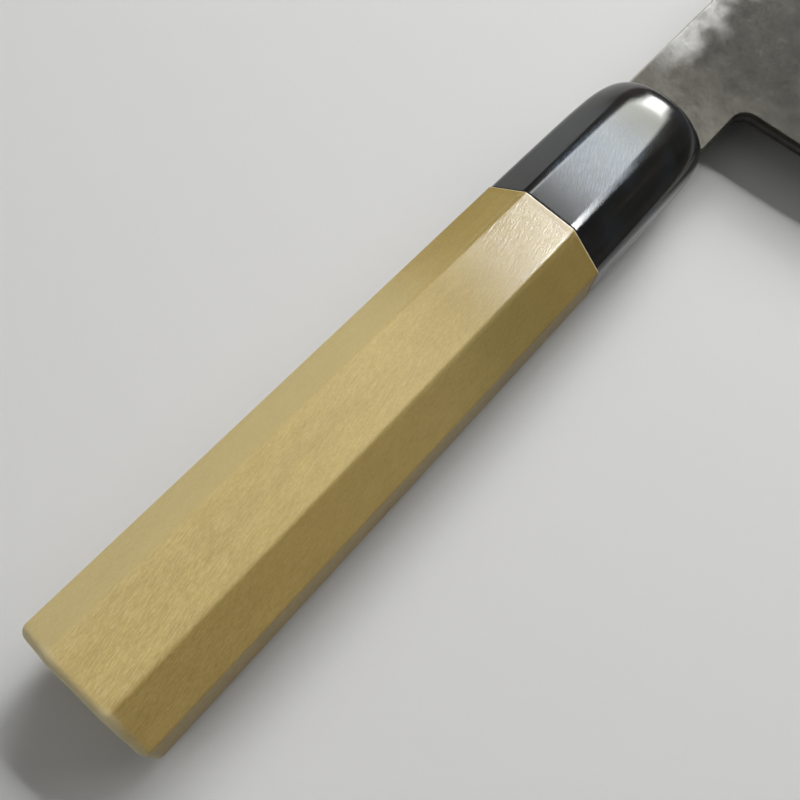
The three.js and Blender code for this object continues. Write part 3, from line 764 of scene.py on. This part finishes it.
turns = np.linspace(0.0, np.pi / 2, 12)
rim = [
    octagon_ring(butt_x + BUTT_ROUND * (1 - np.sin(a)), BUTT_ROUND * (1 - np.cos(a)), WOOD_CORNER)
    for a in turns[::-1]
]
end_face = [rim[0] * [1, s, s] for s in (CLOSING_SHARE, 0.3, 0.6, 0.85, 0.97)]
body_stations = [butt_x + BUTT_ROUND + 0.15, *np.linspace(butt_x + 8, joint_x - 2, 14)]
body = [octagon_ring(x, 0.0, WOOD_CORNER) for x in body_stations]
front_edge = ((0.3, 0.0), (0.09, 0.005), (FRONT_GAP, 0.045))
front = [octagon_ring(joint_x - back, inset, WOOD_CORNER) for back, inset in front_edge]
inner_front = octagon_ring(joint_x - FRONT_GAP, FRONT_INSET, WOOD_CORNER)
tenon_growth = ((joint_x - FRONT_GAP, 0.0), (-0.9, 0.0), (-0.55, -0.1), (TENON_END, -0.25))
tenon = [oval_ring(x, growth, inner_front) for x, growth in tenon_growth]
slot = [slot_ring(x, inner_front) for x in (TENON_END, -20.0, -TANG_LENGTH - SLOT_OVERRUN)]
slot_end = [slot[-1] * [1, CLOSING_SHARE, CLOSING_SHARE]]
rings = [laid(r) for r in [*end_face, *rim, *body, *front, inner_front, *tenon, *slot, *slot_end]]
vertices, faces = ring_skin(rings, False)
size = len(rings[0])
faces += [list(range(size))[::-1], list(range(len(vertices) - size, len(vertices)))]
handle = add_piece("magnolia_handle", vertices, faces, wood)
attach(handle, "root")
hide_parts("handle_body")

# Resin: the bed that holds the tang in its slot and the plug that seals it at the mouth.
# Both were poured in hot and set hard, so they fill what the wood and the steel leave free.
resin, nodes, shader, link = material_nodes("set_resin")
place = nodes.new("ShaderNodeTexCoord").outputs["Object"]
murk = noise(nodes, link, place, 420.0, 4.0)
link(ramp(nodes, link, murk, [
    (0.3, (0.045, 0.028, 0.012)),
    (0.7, (0.11, 0.068, 0.026)),
]), shader.inputs["Base Color"])
link(spread(nodes, link, murk, 0.3, 0.7, 0.28, 0.45), shader.inputs["Roughness"])
bumped(nodes, link, murk, 0.0001, 0.3, shader)
for name in ("tang_bedding", "mouth_seal"):
    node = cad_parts[name]
    node.data.materials.clear()
    node.data.materials.append(resin)

# Floor: a plain pale board under the knife.
# It is matt, so that it takes the shadow and no glint.
FLOOR_REACH = 3.0
floor_paint, _, shader, _ = material_nodes("pale_floor")
shader.inputs["Base Color"].default_value = (0.56, 0.56, 0.55, 1.0)
shader.inputs["Roughness"].default_value = 0.9
floor_mesh = bpy.data.meshes.new("floor")
floor_corners = FLOOR_REACH * np.array([(-1, -1, 0), (1, -1, 0), (1, 1, 0), (-1, 1, 0)])
floor_mesh.from_pydata(floor_corners.tolist(), [], [(0, 1, 2, 3)])
floor_mesh.materials.append(floor_paint)
floor = bpy.data.objects.new("floor", floor_mesh)
scene.collection.objects.link(floor)

# Light: a soft box beyond the tip with a hot middle and a dim surround, and a small low one for the
# glint on the nose. Two strips light the joint, boxes overhead and behind fill in, and the sky is faint.
AIM = np.array([-0.09, 0.012, 0.012])
ACROSS = (0.0, 1.0, 0.0)
SKY_STRENGTH = 0.11


def soft_box(name, direction, distance, side, width, height, beam, power):
    """A rectangle lamp out along a direction from the aim point and facing it, its width along a line."""
    toward = np.array(direction) / np.linalg.norm(direction)
    lamp = bpy.data.lights.new(name, "AREA")
    lamp.shape = "RECTANGLE"
    lamp.size, lamp.size_y, lamp.spread, lamp.energy = width, height, np.radians(beam), power
    across = np.array(side) - toward * (toward @ np.array(side))
    across /= np.linalg.norm(across)
    up = np.cross(toward, across)
    holder = bpy.data.objects.new(name, lamp)
    turn = np.eye(4)
    turn[:3, 0], turn[:3, 1], turn[:3, 2], turn[:3, 3] = across, up, toward, AIM + distance * toward
    holder.matrix_world = Matrix(turn.tolist())
    scene.collection.objects.link(holder)


# Each lamp's name, direction, distance, line of its width, width, height, beam angle and watts.
LAMPS = (
    ("key_box", (0.705, 0.24, 0.667), 1.0, ACROSS, 0.62, 0.46, 110.0, 1.08),
    ("key_core", (0.68, 0.24, 0.69), 0.96, ACROSS, 0.42, 0.28, 110.0, 0.65),
    ("key_surround", (0.71, 0.24, 0.66), 1.04, ACROSS, 1.2, 0.5, 110.0, 0.25),
    ("glint_box", (0.86, 0.18, 0.48), 1.0, ACROSS, 0.25, 0.33, 60.0, 0.56),
    ("corner_strip", (0.56, -0.28, 0.78), 1.0, (0.0, 0.942, 0.336), 0.8, 0.03, 110.0, 0.95),
    ("sheen_strip", (0.53, -0.04, 0.847), 1.0, ACROSS, 0.36, 0.03, 110.0, 0.58),
    ("over_box", (0.0, 0.1, 0.995), 3.0, ACROSS, 3.0, 3.0, 180.0, 9.0),
    ("butt_box", (-0.72, 0.25, 0.65), 1.0, ACROSS, 0.6, 0.6, 180.0, 0.9),
)
for lamp_values in LAMPS:
    soft_box(*lamp_values)
world = bpy.data.worlds.new("even_sky")
world.use_nodes = True
world.node_tree.nodes["Background"].inputs["Color"].default_value = (1.0, 1.0, 1.0, 1.0)
world.node_tree.nodes["Background"].inputs["Strength"].default_value = SKY_STRENGTH
scene.world = world

# Camera: over the butt and to the edge side, looking along the handle to the neck.
# Its place, turns and lens were fitted to the handle's edges.
LENS = 46.891
CAMERA_PLACE = (-0.165436, -0.021212, 0.162441)
CAMERA_TURNS = Euler(np.radians((20.88115, -3.29288, -48.19006)))
camera_data = bpy.data.cameras.new("camera")
camera_data.sensor_width = 36.0
camera_data.lens = LENS
camera = bpy.data.objects.new("camera", camera_data)
camera.matrix_world = Matrix.Translation(CAMERA_PLACE) @ CAMERA_TURNS.to_matrix().to_4x4()
scene.collection.objects.link(camera)
scene.camera = camera
